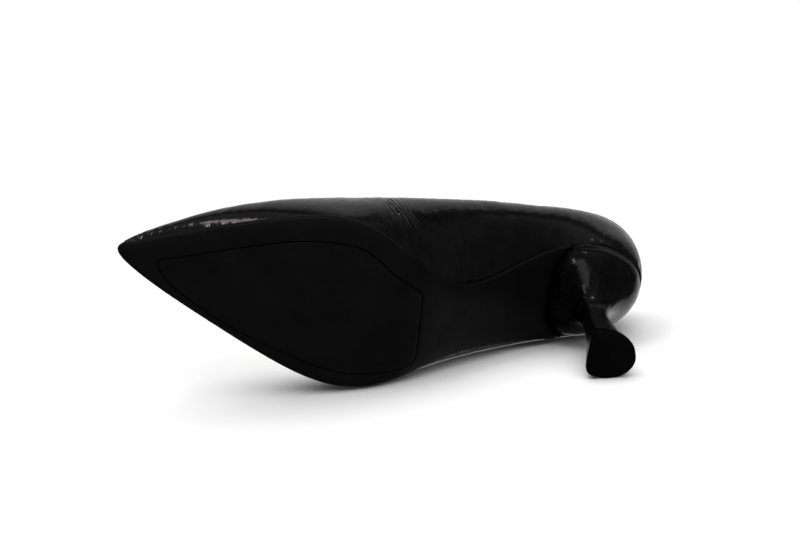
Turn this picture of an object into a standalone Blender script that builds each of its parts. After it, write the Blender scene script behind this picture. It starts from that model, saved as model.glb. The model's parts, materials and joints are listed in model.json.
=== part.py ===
"""High heel pump, right foot: a cemented, pointed-toe court shoe on a covered, flared heel.

Every length in the tables is in millimetres. A place on the shoe is written (s, x, z): s runs forward
from the back of the heel, x runs towards the inner (medial) side and z runs up from the ground.
world() turns such places into metres, with the toe towards -Y and the origin under the middle of the shoe.
"""
import math

import bmesh
import bpy
import numpy as np

# ---------------------------------------------------------------- driving dimensions, millimetres
MM = 0.001
MIDDLE_S = 123.5            # places the origin under the middle of the shoe's box
MIDDLE_X = 0.6

GAP = 0.3                   # between pieces that touch on the real shoe
UPPER_THICK = 1.1
BACKING_THICK = 0.8         # toe puff, heel counter, interlinings, topline tape
LINING_THICK = 0.7
BACKING_DEPTH = UPPER_THICK + GAP                       # from the upper's outer face to each layer's own
LINING_DEPTH = BACKING_DEPTH + BACKING_THICK + GAP
LASTING_MARGIN = 9.0        # how far the upper is pulled in under the insole board
BELLY_SHARE = 0.021         # sag of the forefoot's underside between its edges, as a share of its width

SHANK_LOW, SHANK_THICK = 0.5, 0.8
INSOLE_LOW, INSOLE_THICK = 1.8, 1.3
SHANK_BOARD_THICK = 1.4
FOAM_THICK, SOCK_THICK = 1.8, 0.8
SOCK_INSET = 4.1

SOLE_LIP = 0.7              # the outsole stands this far outside the upper
SOLE_THICK_FRONT, SOLE_THICK_WAIST = 4.3, 3.0
SOLE_EDGE_ROUND = 8.0       # width of the margin over which the sole curls up to its edge
TREAD_DEPTH = 1.2

HEEL_TOP_ROW = 81.0
HEEL_LEAN = 3.6                    # how far the back of the heel's seat leans to the medial side
SEAT_GAP = 0.45             # between the heel's top and the upper
TOP_PIECE_HEIGHT = 5.5
COVER_THICK = 0.7
TUBE_CENTRE = (24.0, -1.0)  # (s, x) of the steel tube up the middle of the heel
TUBE_RADIUS, TUBE_BORE = 2.5, 1.6
TUBE_LOW, TUBE_HIGH = 6.2, 50.0
PIN_RADIUS, PIN_HIGH = 1.25, 24.0

# Head (radius, length) and shank (radius, length from the top of the head) of each kind of fastener.
NAIL = ((2.4, 0.8), (1.1, 15.0))
SCREW = ((3.6, 1.0), (2.0, 24.0))
RIVET = ((2.6, 0.7), (1.4, 2.9))
FASTENER_STEPS = 12
NAIL_PLACES = ((14.5, 11.2), (14.5, -6.0), (33.0, 10.5), (33.0, -8.5))
SCREW_PLACE = (21.0, 1.0)
RIVET_PLACES = ((112.0, -11.0), (60.0, -5.0))

# ---------------------------------------------------------------- the last, as stations round the shoe
# Height of the feather line, where the wall of the upper meets the sole: (s, z).
FEATHER_PROFILE = ((-5, 84.5), (10, 82.5), (25, 79.5), (40, 74.5), (55, 66), (70, 54), (85, 40.5),
                   (100, 26.5), (112, 16.8), (125, 9.8), (137, 6.6), (150, 5.7), (165, 5.6), (200, 6.6),
                   (230, 8.6), (252, 11.4))

# One column of the upper at each of twenty stations, toe tip first and then round by the medial side.
# Each column is a Bezier curve: its foot on the feather line (s, x), two handles and its head on the
# topline, as (s, x, z).
STATIONS = (
    # foot             lower handle        upper handle        head
    ((247.6, 6.8), (249.9, 7.4, 17), (213, 7.5, 33.5), (170, 5, 43)),
    ((236.5, 13.1), (240.5, 21.0, 16.5), (202, 24, 35.5), (167.5, 13, 43.5)),
    ((209.6, 24.0), (211.5, 34.2, 16.5), (187, 35.5, 37), (160, 22, 46)),
    ((178, 34.7), (178.5, 41.3, 17), (167, 41.5, 39), (149, 29.5, 50)),
    ((147, 40.0), (147.5, 44, 19), (142, 44, 44), (134, 34, 58)),
    ((120, 27.2), (119, 41.2, 24), (115.5, 47.5, 53), (112, 35, 71)),
    ((91.5, 8.6), (91, 29, 39.5), (89.5, 46, 65), (88, 35.5, 86)),
    ((62, 16.5), (61.5, 30, 66.5), (60.5, 42.5, 85), (60, 33, 103)),
    ((32, 26.0), (31.5, 32, 87), (31, 38, 107), (31, 28, 123.5)),
    ((8.2, 21.8), (5.5, 25.4, 94.5), (6.0, 25.0, 121), (9.5, 18.5, 138.5)),
    ((0.4, 4.0), (-2.9, 3.4, 97), (-1.6, 2.5, 124), (2, 2, 142)),
    ((10.8, -14.8), (8.0, -19.0, 95), (6.2, -19.2, 121), (9.2, -13, 138.5)),
    ((32, -23.2), (32, -28.5, 86), (31, -31, 106), (31, -23.5, 122)),
    ((62, -24.6), (62, -33, 67), (61, -36, 84), (60, -29.5, 100)),
    ((92, -26.6), (92, -37, 42), (90, -40, 62), (88, -32.5, 82)),
    ((115, -34.3), (115.5, -41, 25), (114.5, -43, 48), (112, -34, 66)),
    ((139, -38.6), (138.5, -42.5, 18), (137, -43, 41), (134, -33, 55)),
    ((166, -33.3), (166.5, -37.5, 16.5), (158, -37, 37), (149, -26.5, 48.5)),
    ((203, -17.9), (205, -21.5, 15), (182, -22.5, 35.5), (160, -16, 45)),
    ((234, -3.4), (237, -6.3, 15.5), (200, -8.5, 35), (167.5, -4.5, 43.5)),
)

# Sections of the covered heel from its foot up: (z, back s, front s, centre x, half width, front power).
# A higher front power makes the front of the section flatter.
HEEL_SECTIONS = (
    (5.8, 9.7, 31.0, -1.8, 10.8, 5.0),
    (10, 10.7, 30.8, -1.5, 9.8, 4.8),
    (18, 13.3, 30.5, -0.9, 7.9, 4.4),
    (28, 16.4, 30.3, -0.3, 6.3, 4.0),
    (38, 18.6, 30.4, 0.1, 5.5, 3.6),
    (46, 19.1, 31.0, 0.4, 5.9, 3.3),
    (53, 17.4, 32.6, 1.0, 7.8, 3.1),
    (59, 14.0, 35.0, 1.7, 10.9, 3.0),
    (64, 9.8, 38.2, 2.4, 15.0, 2.9),
    (68.5, 5.6, 41.4, 2.7, 18.7, 2.8),
    (74, 2.2, 44.4, 2.4, 21.8, 2.7),
    (81, 0.9, 46.0, 1.6, 24.0, 2.7),
)

# Outline of the tread panel, (s, x): a kite with a rounded point, bulging sides and a slanting back edge.
TREAD_OUTLINE = ((229.1, 4.9), (228.3, 6.3), (225, 7.8), (210.4, 12.9), (193, 19.1), (176, 24.7), (162, 28.1),
                 (149.6, 29.0), (140.6, 28.5), (132.9, 25.2), (124, 18.2), (114.7, 12.1), (109.1, 7.8),
                 (108.2, -8.5), (107.2, -24.9), (113.4, -28.7), (122.3, -30.4), (135, -31.3),
                 (149.7, -30.2), (163, -27.2), (180, -22.5), (197.7, -16.2), (211, -9.9), (223.2, -2.2),
                 (227.4, 2.3))

OBJECT_NAME = "high_heel_pump"

# Every layer of the wall is sampled at the same columns round the shoe and the same rows up it, so that
# the layers nest. The rows are shares of the height from the insole board to the topline.
WALL_COLUMNS = 64
WALL_ROWS = (0, 0.16, 0.33, 0.50, 0.68, 0.86, 1.0)
TAPE_ROWS = (0.885, 0.985)
SEAM_TRIM = 0.0008          # share of the way round left open where two pieces of a layer meet


# ---------------------------------------------------------------- curves
def spline(knots, values, x, period=None):
    """Smooth cubic through the knots; values may be vectors. A period closes the curve on itself."""
    k = np.asarray(knots, float)
    y = np.asarray(values, float)
    x = np.asarray(x, float)
    if period:
        wrap = 4
        k = np.concatenate([k[-wrap:] - period, k, k[:wrap + 1] + period])
        y = np.concatenate([y[-wrap:], y, y[:wrap + 1]])
        x = (x - k[wrap]) % period + k[wrap]
    shape = x.shape + y.shape[1:]
    y = y.reshape(len(k), -1)
    x = x.reshape(-1)
    h = np.diff(k)
    slope = np.diff(y, axis=0) / h[:, None]
    system = np.eye(len(k))
    bend = np.zeros_like(y)
    for i in range(1, len(k) - 1):
        system[i, i - 1:i + 2] = h[i - 1], 2 * (h[i - 1] + h[i]), h[i]
        bend[i] = 6 * (slope[i] - slope[i - 1])
    c = np.linalg.solve(system, bend)
    i = np.clip(np.searchsorted(k, x) - 1, 0, len(k) - 2)
    w = h[i][:, None]
    a = (k[i + 1] - x)[:, None]
    b = (x - k[i])[:, None]
    smooth = (c[i] * a**3 + c[i + 1] * b**3) / (6 * w)
    smooth += (y[i] / w - c[i] * w / 6) * a + (y[i + 1] / w - c[i + 1] * w / 6) * b
    return smooth.reshape(shape)


def ease(value, low, high):
    """Smooth step from 0 at low to 1 at high."""
    t = np.clip((np.asarray(value, float) - low) / (high - low), 0, 1)
    return t * t * (3 - 2 * t)


def world(s, x, z):
    """Places on the shoe, in metres, in the part's frame."""
    return np.stack(np.broadcast_arrays((x - MIDDLE_X) * MM, (MIDDLE_S - s) * MM, z * MM), axis=-1)


# ---------------------------------------------------------------- the last's surfaces
def feather_height(s):
    table = np.array(FEATHER_PROFILE, float)
    return spline(table[:, 0], table[:, 1], s)


def column_points():
    """The stations as four loops of (s, x, z)."""
    loops = np.zeros((len(STATIONS), 4, 3))
    for i, (foot, lower, upper, head) in enumerate(STATIONS):
        loops[i] = (foot[0], foot[1], 0), lower, upper, head
    loops[:, 0, 2] = feather_height(loops[:, 0, 0])
    return loops


LOOPS = column_points()
STATION_U = np.arange(len(STATIONS)) / len(STATIONS)


def around(columns):
    """Places round the shoe, as shares, for its numbered columns: closer together at toe and heel."""
    share = np.asarray(columns, float) / WALL_COLUMNS
    return share - 0.4 * np.sin(4 * math.pi * share) / (4 * math.pi)


def upper_at(u, t):
    """Outer surface of the upper, (s, x, z): u goes round the shoe, t from the sole to the topline."""
    column = spline(STATION_U, LOOPS, u, period=1.0)
    t = np.asarray(t, float)[:, None]
    foot, lower, upper, head = (column[:, k] for k in range(4))
    foot[:, 2] = feather_height(foot[:, 0])
    return (1 - t)**3 * foot + 3 * t * (1 - t)**2 * lower + 3 * t * t * (1 - t) * upper + t**3 * head


def outward_normal(surface, u, t):
    """Unit normals of a surface given by u and t, pointing out of the shoe."""
    step = 1e-4
    du = surface(u + step, t) - surface(u - step, t)
    dt = surface(u, t + step) - surface(u, t - step)
    normal = np.cross(du, dt)
    return normal / np.linalg.norm(normal, axis=1, keepdims=True)


def upper_inside(u, t, depth):
    """The upper's surface moved in by a depth, (s, x, z)."""
    return upper_at(u, t) - depth * outward_normal(upper_at, u, t)


def outline(inset=0.0, dense=1):
    """The feather line seen from above as (s, x) places, moved inwards by inset."""
    u = around(np.arange(WALL_COLUMNS * dense) / dense)
    line = spline(STATION_U, LOOPS[:, 0, :2], u, period=1.0)
    ahead = np.roll(line, -1, axis=0) - np.roll(line, 1, axis=0)
    inward = np.stack([-ahead[:, 1], ahead[:, 0]], axis=1)
    inward /= np.linalg.norm(inward, axis=1, keepdims=True)
    return line + np.reshape(inset, (-1, 1)) * inward


def plate_outline(inset, reach):
    """The outline moved inwards and cut off at s = reach, without the places where it crosses itself."""
    moved = outline(inset)
    kept = distance_inside(outline(), *moved.T) > inset - 0.05
    return moved[kept & (moved[:, 0] < reach)]


def distance_inside(line, s, x):
    """Distance of each (s, x) from a closed line."""
    start = line
    run = np.roll(line, -1, axis=0) - line
    place = np.stack([s, x], axis=-1)[:, None, :]
    along = np.clip(((place - start) * run).sum(-1) / (run**2).sum(-1), 0, 1)
    nearest = start + along[..., None] * run
    return np.sqrt(((place - nearest)**2).sum(-1)).min(axis=1)


def side_limits(s):
    """The feather line's lateral and medial x at each s."""
    line = outline(dense=12)
    tip = line[:, 0].argmax()
    heel = line[:, 0].argmin()
    line = np.roll(line, -tip, axis=0)
    turn = (heel - tip) % len(line)
    medial, lateral = line[:turn + 1][::-1], line[turn:]
    return np.interp(s, lateral[:, 0], lateral[:, 1]), np.interp(s, medial[:, 0], medial[:, 1])


def bottom_height(s, x):
    """Underside of the lasted upper: the feather height with a slight sag across the forefoot."""
    lateral, medial = side_limits(s)
    across = np.clip((2 * x - medial - lateral) / (medial - lateral), -1, 1)
    belly = BELLY_SHARE * (medial - lateral) * ease(s, 60, 110)
    return feather_height(s) - belly * (1 - across**2)


def stacked(s, x, offset):
    """Height at an offset above the underside of the upper, measured square to the slope."""
    slope = (feather_height(s + 1) - feather_height(s - 1)) / 2
    return bottom_height(s, x) + offset * np.sqrt(1 + slope**2)


def board_top(s):
    """Top of the boards above the underside: the shank board ends behind the ball of the foot."""
    rise = (SHANK_BOARD_THICK + GAP) * (1 - ease(s, 122, 140))
    return INSOLE_LOW + INSOLE_THICK + rise


def sole_bottom(s, x):
    """Underside of the outsole, curling up towards its edge and flat where it meets the ground."""
    thick = SOLE_THICK_WAIST + (SOLE_THICK_FRONT - SOLE_THICK_WAIST) * ease(s, 85, 120)
    edge = distance_inside(outline(-SOLE_LIP), s, x)
    curl = np.clip(1 - edge / SOLE_EDGE_ROUND, 0, 1)**2
    height = bottom_height(s, x) - GAP - thick * (1 - 0.42 * curl)
    return np.maximum(height, 0.0)


def heel_at(u, t):
    """Outer surface of the covered heel, (s, x, z): u goes round from the back, t from foot to seat."""
    table = np.array(HEEL_SECTIONS, float)
    z = table[0, 0] + (HEEL_TOP_ROW - table[0, 0]) * np.asarray(t, float)
    back, front, centre, half, power = spline(table[:, 0], table[:, 1:], z).T
    angle = 2 * math.pi * np.asarray(u, float)
    turn_cos, turn_sin = np.cos(angle), np.sin(angle)
    power = np.where(turn_cos > 0, 1.95, power)
    length = np.where(turn_cos > 0, 0.64, 0.36) * (front - back)
    s = front - 0.36 * (front - back) - length * np.sign(turn_cos) * np.abs(turn_cos)**(2 / power)
    x = centre - half * np.sign(turn_sin) * np.abs(turn_sin)**(2 / power)
    x = x + HEEL_LEAN * ease(z, 50, HEEL_TOP_ROW) * np.maximum(turn_cos, 0)**1.5
    seat = bottom_height(s, x) - SEAT_GAP
    return np.stack([s, x, z + ease(z, 40, HEEL_TOP_ROW) * (seat - HEEL_TOP_ROW)], axis=1)


def heel_inside(u, t, depth):
    """The heel's surface moved in by a depth, keeping its height at the seat and the foot."""
    place = heel_at(u, t)
    normal = outward_normal(heel_at, u, np.clip(t, 1e-3, 1 - 1e-3))
    steepness = np.maximum((normal[:, :2]**2).sum(axis=1, keepdims=True), 0.4)
    place[:, :2] -= depth * normal[:, :2] / steepness
    return place


# ---------------------------------------------------------------- mesh helpers
def material(name, colour, roughness, metallic=0.0):
    found = bpy.data.materials.get(name)
    if found:
        return found
    made = bpy.data.materials.new(name)
    made.use_nodes = True
    shader = made.node_tree.nodes["Principled BSDF"]
    shader.inputs["Base Color"].default_value = (*colour, 1.0)
    shader.inputs["Roughness"].default_value = roughness
    shader.inputs["Metallic"].default_value = metallic
    return made


def add_object(name, mesh, finish, collection, smooth_angle=35):
    mesh.shade_smooth()
    mesh.set_sharp_from_angle(angle=math.radians(smooth_angle))
    piece = bpy.data.objects.new(name, mesh)
    if finish:
        mesh.materials.append(finish)
    collection.objects.link(piece)
    return piece


def grid_mesh(name, places, closed):
    """An open sheet through rows of places (rows, columns, 3); closed joins the last column to the first."""
    rows, columns = places.shape[:2]
    bm = bmesh.new()
    verts = [[bm.verts.new(p) for p in row] for row in places]
    wraps = columns if closed else columns - 1
    for j in range(rows - 1):
        for i in range(wraps):
            k = (i + 1) % columns
            bm.faces.new((verts[j][i], verts[j][k], verts[j + 1][k], verts[j + 1][i]))
    mesh = bpy.data.meshes.new(name)
    bm.to_mesh(mesh)
    bm.free()
    return mesh


def solidify(piece, thickness):
    shell = piece.modifiers.new("Solidify", "SOLIDIFY")
    shell.thickness = thickness * MM
    shell.offset = -1.0
    shell.use_even_offset = True
    return piece


def loft(name, rings, finish, collection, cap_first=True, cap_last=True):
    """A closed body through rings of equally many places, from the lowest to the highest."""
    mesh = grid_mesh(name, np.array(rings), closed=True)
    bm = bmesh.new()
    bm.from_mesh(mesh)
    bm.verts.ensure_lookup_table()
    count = len(rings[0])
    if cap_first:
        bm.faces.new([bm.verts[i] for i in range(count)][::-1])
    if cap_last:
        first = (len(rings) - 1) * count
        bm.faces.new([bm.verts[first + i] for i in range(count)])
    bmesh.ops.recalc_face_normals(bm, faces=bm.faces[:])
    bm.to_mesh(mesh)
    bm.free()
    return add_object(name, mesh, finish, collection)


def plate(name, line, low, high, finish, collection, s_step=6.0, x_step=18.0, insets=()):
    """A plate with the given outline (s, x), bent between two height functions of s and x."""
    bm = bmesh.new()
    face = bm.faces.new([bm.verts.new((x, -s, 0)) for s, x in line])
    for inset in insets:
        bmesh.ops.inset_region(bm, faces=[face], thickness=inset)
    s_low, s_high = line[:, 0].min(), line[:, 0].max()
    x_low, x_high = line[:, 1].min(), line[:, 1].max()
    cuts = [((0, -s, 0), (0, 1, 0)) for s in s_step * np.arange(math.ceil(s_low / s_step), s_high / s_step)]
    cuts += [((x, 0, 0), (1, 0, 0)) for x in x_step * np.arange(math.ceil(x_low / x_step), x_high / x_step)]
    for place, normal in cuts:
        everything = bm.verts[:] + bm.edges[:] + bm.faces[:]
        bmesh.ops.bisect_plane(bm, geom=everything, dist=1e-4, plane_co=place, plane_no=normal)
    lower = bm.verts[:]
    raised = bmesh.ops.extrude_face_region(bm, geom=bm.faces[:])
    upper = [v for v in raised["geom"] if isinstance(v, bmesh.types.BMVert)]
    for verts, height in ((lower, low), (upper, high)):
        s = np.array([-v.co.y for v in verts])
        x = np.array([v.co.x for v in verts])
        for vert, place in zip(verts, world(s, x, height(s, x))):
            vert.co = place
    bmesh.ops.recalc_face_normals(bm, faces=bm.faces[:])
    mesh = bpy.data.meshes.new(name)
    bm.to_mesh(mesh)
    bm.free()
    return add_object(name, mesh, finish, collection, smooth_angle=50)


def turned(name, profile, place, finish, collection, steps=16, ring=False, tilt=0.0):
    """A turned piece: its profile of (radius, height) runs down the outer side, from the top."""
    mesh = bpy.data.meshes.new(name)
    places = [(r * MM, 0, z * MM) for r, z in profile]
    edges = [(i, i + 1) for i in range(len(places) - 1)]
    if ring:
        edges.append((len(places) - 1, 0))
    mesh.from_pydata(places, edges, [])
    piece = add_object(name, mesh, finish, collection)
    piece.location = place
    piece.rotation_euler.x = tilt
    screw = piece.modifiers.new("Screw", "SCREW")
    screw.steps = screw.render_steps = steps
    screw.use_merge_vertices = True
    screw.merge_threshold = 0.00001
    return piece


def cut(piece, cutter):
    """Takes the cutter's shape out of the piece and keeps the cutter hidden."""
    boolean = piece.modifiers.new("Cut " + cutter.name, "BOOLEAN")
    boolean.operation = "DIFFERENCE"
    boolean.object = cutter
    boolean.solver = "EXACT"
    cutter.hide_render = True
    cutter.display_type = "WIRE"


# ---------------------------------------------------------------- upper, backings and lining
def start_of_wall(u):
    """Where the layers inside the upper begin, as t: clear above the insole board."""
    trial = np.linspace(0.01, 0.5, 50)
    start = np.zeros_like(u)
    for i, one in enumerate(u):
        clear = np.ones(len(trial), bool)
        for depth in (BACKING_DEPTH, LINING_DEPTH + LINING_THICK):
            s, x, z = upper_inside(np.full_like(trial, one), trial, depth).T
            clear &= z > stacked(s, x, INSOLE_LOW + INSOLE_THICK + GAP)
        start[i] = trial[np.argmax(clear)]
    return start


def wall_sheet(name, finish, collection, span, rows, depth, thickness):
    """A sheet along the inside of the upper, from one wall column to another, through the given rows."""
    first, last = span
    closed = last - first == WALL_COLUMNS
    u = around(np.arange(first, last + (not closed)))
    if not closed:
        u[0] += SEAM_TRIM
        u[-1] -= SEAM_TRIM
    start = start_of_wall(u)
    places = [world(*upper_inside(u, start + (1 - start) * row, depth).T) for row in rows]
    mesh = grid_mesh(name, np.array(places), closed)
    return solidify(add_object(name, mesh, finish, collection, smooth_angle=60), thickness)


def make_upper(collection):
    """Vamp and quarters in one piece, with the margin that is lasted under the insole board."""
    finish = material("patent_leather_black", (0.012, 0.012, 0.013), 0.12)
    u = around(np.arange(WALL_COLUMNS))
    start = start_of_wall(u)
    foot = upper_at(u, np.zeros(WALL_COLUMNS))
    lateral, medial = side_limits(foot[:, 0])
    margin = np.minimum(LASTING_MARGIN, 0.16 * (medial - lateral) + 1.2)
    places = []
    for share in (1.0, 0.4):
        s, x = outline(0.2 + margin * share).T
        places.append(world(s, x, bottom_height(s, x)))
    places.append(world(*foot.T))
    for row in WALL_ROWS:
        places.append(world(*upper_at(u, start + (1 - start) * row).T))
    mesh = grid_mesh("upper", np.array(places), closed=True)
    return solidify(add_object("upper", mesh, finish, collection, smooth_angle=60), UPPER_THICK)


def make_wall_layers(collection):
    """Toe puff, heel counter, interlinings and topline tape, then the lining inside them."""
    stiff = material("thermoplastic_stiffener", (0.62, 0.60, 0.55), 0.7)
    cloth = material("cotton_interlining", (0.70, 0.68, 0.62), 0.9)
    kid = material("lining_leather", (0.62, 0.47, 0.35), 0.55)
    suede = material("heel_grip_suede", (0.50, 0.37, 0.27), 0.85)
    for name, finish, span, rows in (
            ("toe_puff", stiff, (-10, 10), WALL_ROWS[:4]),
            ("interlining_medial", cloth, (10, 25), WALL_ROWS[:6]),
            ("heel_counter", stiff, (25, 39), WALL_ROWS[:6]),
            ("interlining_lateral", cloth, (39, 54), WALL_ROWS[:6]),
            ("topline_tape", cloth, (0, WALL_COLUMNS), TAPE_ROWS)):
        wall_sheet(name, finish, collection, span, rows, BACKING_DEPTH, BACKING_THICK)
    for name, finish, span in (
            ("vamp_lining", kid, (-15, 15)),
            ("quarter_lining_medial", kid, (15, 29)),
            ("heel_grip", suede, (29, 35)),
            ("quarter_lining_lateral", kid, (35, 49))):
        wall_sheet(name, finish, collection, span, WALL_ROWS, LINING_DEPTH, LINING_THICK)


# ---------------------------------------------------------------- bottom pieces
def behind_heel_front(points=24):
    """The front edge of the heel's top, as (s, x) from the medial to the lateral side."""
    u = np.linspace(0.27, 0.73, points)
    edge = heel_at(u, np.full(points, 1.0))
    return edge[:, 0], edge[:, 1]


def sole_outline():
    """The outsole's outline, ending at the front edge of the heel."""
    front_s, front_x = behind_heel_front()
    order = np.argsort(front_x)
    line = outline(-SOLE_LIP)
    limit = np.interp(line[:, 1], front_x[order], front_s[order] + GAP)
    ahead = (line[:, 0] > limit + 1.0) & (line[:, 0] > 38)
    first = np.argmin(ahead)
    wall = np.roll(line, -first, axis=0)[~np.roll(~ahead, -first)]
    inside = (front_x > wall[:, 1].min()) & (front_x < wall[:, 1].max())
    inside &= (front_s > 34) & (np.abs(front_x - 1.0) < 22.5)
    back = np.stack([front_s[inside] + GAP + 0.1, front_x[inside]], axis=1)
    return np.concatenate([wall, back[::-1]])


def tread_outline(grow=0.0):
    """The tread panel's outline: bulging sides, sharper corners at its back edge, grown by a margin."""
    knots = np.array(TREAD_OUTLINE, float)
    run = np.concatenate([[0], np.cumsum(np.linalg.norm(np.diff(knots, axis=0), axis=1))])
    last = run[-1] + np.linalg.norm(knots[-1] - knots[0])
    corner = (12, 14)
    forward = spline(run[:corner[0] + 1], knots[:corner[0] + 1], np.linspace(0, run[corner[0]], 26))
    rear = np.linspace(knots[corner[0]], knots[corner[1]], 5)[1:-1]
    closing = np.append(run[corner[1]:], last)
    back = spline(closing, np.vstack([knots[corner[1]:], knots[:1]]), np.linspace(closing[0], last, 28))
    line = np.vstack([forward, rear, back[:-1]])
    middle = np.array([150.0, 0.0])
    ahead = np.roll(line, -1, axis=0) - np.roll(line, 1, axis=0)
    out = np.stack([ahead[:, 1], -ahead[:, 0]], axis=1)
    out /= np.linalg.norm(out, axis=1, keepdims=True)
    out *= np.sign(((line - middle) * out).sum(axis=1)).mean().round()
    return line + grow * out


def make_outsole(collection, cutters):
    finish = material("outsole_rubber_black", (0.016, 0.016, 0.017), 0.42)
    tread_finish = material("tread_rubber_black", (0.014, 0.014, 0.015), 0.5)

    def top(s, x):
        return bottom_height(s, x) - GAP

    sole = plate("outsole", sole_outline(), sole_bottom, top, finish, collection, insets=(1.5, 2.5))
    recess = plate("cutter_tread", tread_outline(GAP + 0.1), lambda s, x: sole_bottom(s, x) - 4.0,
                   lambda s, x: sole_bottom(s, x) + TREAD_DEPTH + GAP, None, cutters)
    cut(sole, recess)
    plate("tread_insert", tread_outline(), sole_bottom, lambda s, x: sole_bottom(s, x) + TREAD_DEPTH,
          tread_finish, collection)


def rounded_strip(start, end, half_width, centre, points=9):
    """A long outline with round ends, its middle following centre(s)."""
    angle = np.linspace(-math.pi / 2, math.pi / 2, points)
    cap = half_width * np.stack([np.cos(angle), np.sin(angle)], axis=1)
    between = np.linspace(start + half_width, end - half_width, 14)[1:-1]
    medial = np.stack([between[::-1], np.full(12, half_width)], axis=1)
    lateral = np.stack([between, np.full(12, -half_width)], axis=1)
    line = np.vstack([cap + (end - half_width, 0), medial, (start + half_width, 0) - cap, lateral])
    line[:, 1] += centre(line[:, 0])
    return line


def spine(s):
    """Middle of the bottom, between the two sides of the feather line."""
    lateral, medial = side_limits(s)
    return (lateral + medial) / 2


def make_boards(collection, cutters, fasteners):
    """Insole board, shank board, steel shank, filler, foam and sock."""
    board = material("fibreboard", (0.42, 0.30, 0.20), 0.9)
    steel = material("spring_steel", (0.55, 0.56, 0.58), 0.35, 1.0)
    cork = material("cork_filler", (0.45, 0.30, 0.18), 0.95)
    foam = material("latex_foam", (0.80, 0.76, 0.66), 0.9)
    sock = material("sock_leather", (0.62, 0.47, 0.35), 0.5)

    def above(offset):
        return lambda s, x: stacked(s, x, offset)

    def over_boards(offset):
        return lambda s, x: stacked(s, x, board_top(s) + offset)

    insole = plate("insole_board", plate_outline(UPPER_THICK + 1.2, 243), above(INSOLE_LOW),
                   above(INSOLE_LOW + INSOLE_THICK), board, collection)

    rear = plate_outline(UPPER_THICK + 1.9, 124)
    rear_low = INSOLE_LOW + INSOLE_THICK + GAP
    shank_board = plate("shank_board", rear, above(rear_low), above(rear_low + SHANK_BOARD_THICK), board,
                        collection)

    shank = plate("steel_shank", rounded_strip(8, 124, 5.0, spine), above(SHANK_LOW),
                  above(SHANK_LOW + SHANK_THICK), steel, collection)

    front = plate_outline(LASTING_MARGIN + 2.0, 212)
    front = front[front[:, 0] > 130]
    plate("bottom_filler", front, above(0.2), above(1.3), cork, collection)

    foam_low, sock_low = GAP, 2 * GAP + FOAM_THICK
    plate("sock_foam", plate_outline(SOCK_INSET + 0.3, 231.5), over_boards(foam_low),
          over_boards(foam_low + FOAM_THICK), foam, collection)
    plate("sock_liner", plate_outline(SOCK_INSET, 232), over_boards(sock_low), over_boards(sock_low + SOCK_THICK),
          sock, collection)
    for kind, cutter in fasteners:
        cut(insole, cutter)
        cut(shank_board, cutter)
        if kind != "nail":
            cut(shank, cutter)


# ---------------------------------------------------------------- heel
def heel_ring(t, depth, points=28):
    u = np.arange(points) / points
    return world(*heel_inside(u, np.full(points, t), depth).T)


def seat_ring(share, depth, points=28):
    """A ring on the heel's top, drawn in towards its middle."""
    u = np.arange(points) / points
    s, x, _ = heel_inside(u, np.ones(points), depth).T
    middle_s, middle_x = 24.0, 1.2
    s = middle_s + (s - middle_s) * share
    x = middle_x + (x - middle_x) * share
    return world(s, x, bottom_height(s, x) - SEAT_GAP)


def make_heel(collection, cutters, fasteners):
    plastic = material("heel_plastic", (0.06, 0.06, 0.06), 0.4)
    leather = material("heel_cover_leather", (0.012, 0.012, 0.013), 0.1)
    steel = material("heel_tube_steel", (0.6, 0.6, 0.62), 0.35, 1.0)
    inside = COVER_THICK + GAP

    rings = [heel_ring(t, inside) for t in np.linspace(0, 1, 12)]
    rings += [seat_ring(share, inside) for share in (0.7, 0.35)]
    block = loft("heel_block", rings, plastic, collection)
    for _, cutter in fasteners:
        cut(block, cutter)
    centre = world(*TUBE_CENTRE, 0.0)
    bore = turned("cutter_tube", [(0, TUBE_HIGH + GAP), (TUBE_RADIUS + GAP, TUBE_HIGH + GAP),
                                  (TUBE_RADIUS + GAP, 0), (0, 0)], centre, None, cutters, 20)
    cut(block, bore)
    turned("heel_tube", [(TUBE_BORE, TUBE_HIGH), (TUBE_RADIUS, TUBE_HIGH), (TUBE_RADIUS, TUBE_LOW),
                         (TUBE_BORE, TUBE_LOW)], centre, steel, collection, 20, ring=True)

    for name, u_range, columns in (("heel_cover", (-0.352, 0.352), 23), ("breast_cover", (0.372, 0.628), 9)):
        u = np.linspace(*u_range, columns)
        rows = [world(*heel_inside(u, np.full(columns, t), 0.0).T) for t in np.linspace(0, 1, 12)]
        mesh = grid_mesh(name, np.array(rows), closed=False)
        cover = add_object(name, mesh, leather, collection, smooth_angle=60)
        solidify(cover, COVER_THICK)


def make_top_piece(collection, cutters):
    """The D-shaped rubber lift on the heel's foot, with the steel pin moulded in it."""
    rubber = material("top_piece_rubber", (0.03, 0.03, 0.03), 0.55)
    steel = material("pin_steel", (0.6, 0.6, 0.62), 0.35, 1.0)
    u = np.arange(28) / 28

    def ring(inset, z):
        s, x, _ = heel_inside(u, np.zeros(28), inset).T
        return world(s, x, z + 0 * s)

    rings = [ring(1.7, 0.0), ring(0.9, 0.25), ring(0.3, 0.9), ring(0.0, 1.9), ring(-0.1, TOP_PIECE_HEIGHT)]
    piece = loft("top_piece", rings, rubber, collection)
    centre = world(*TUBE_CENTRE, 0.0)
    hole = turned("cutter_pin", [(0, 12), (PIN_RADIUS + GAP, 12), (PIN_RADIUS + GAP, 1.8), (0, 1.8)],
                  centre, None, cutters, 16)
    cut(piece, hole)
    turned("top_piece_pin", [(0, PIN_HIGH), (PIN_RADIUS, PIN_HIGH - 0.8), (PIN_RADIUS, 2.1), (0, 2.1)],
           centre, steel, collection, 16)


# ---------------------------------------------------------------- fasteners
def board_surface(s, x):
    """Height of the uppermost board, under the foam."""
    s, x = np.array([s]), np.array([x])
    return stacked(s, x, board_top(s))[0]


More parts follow.
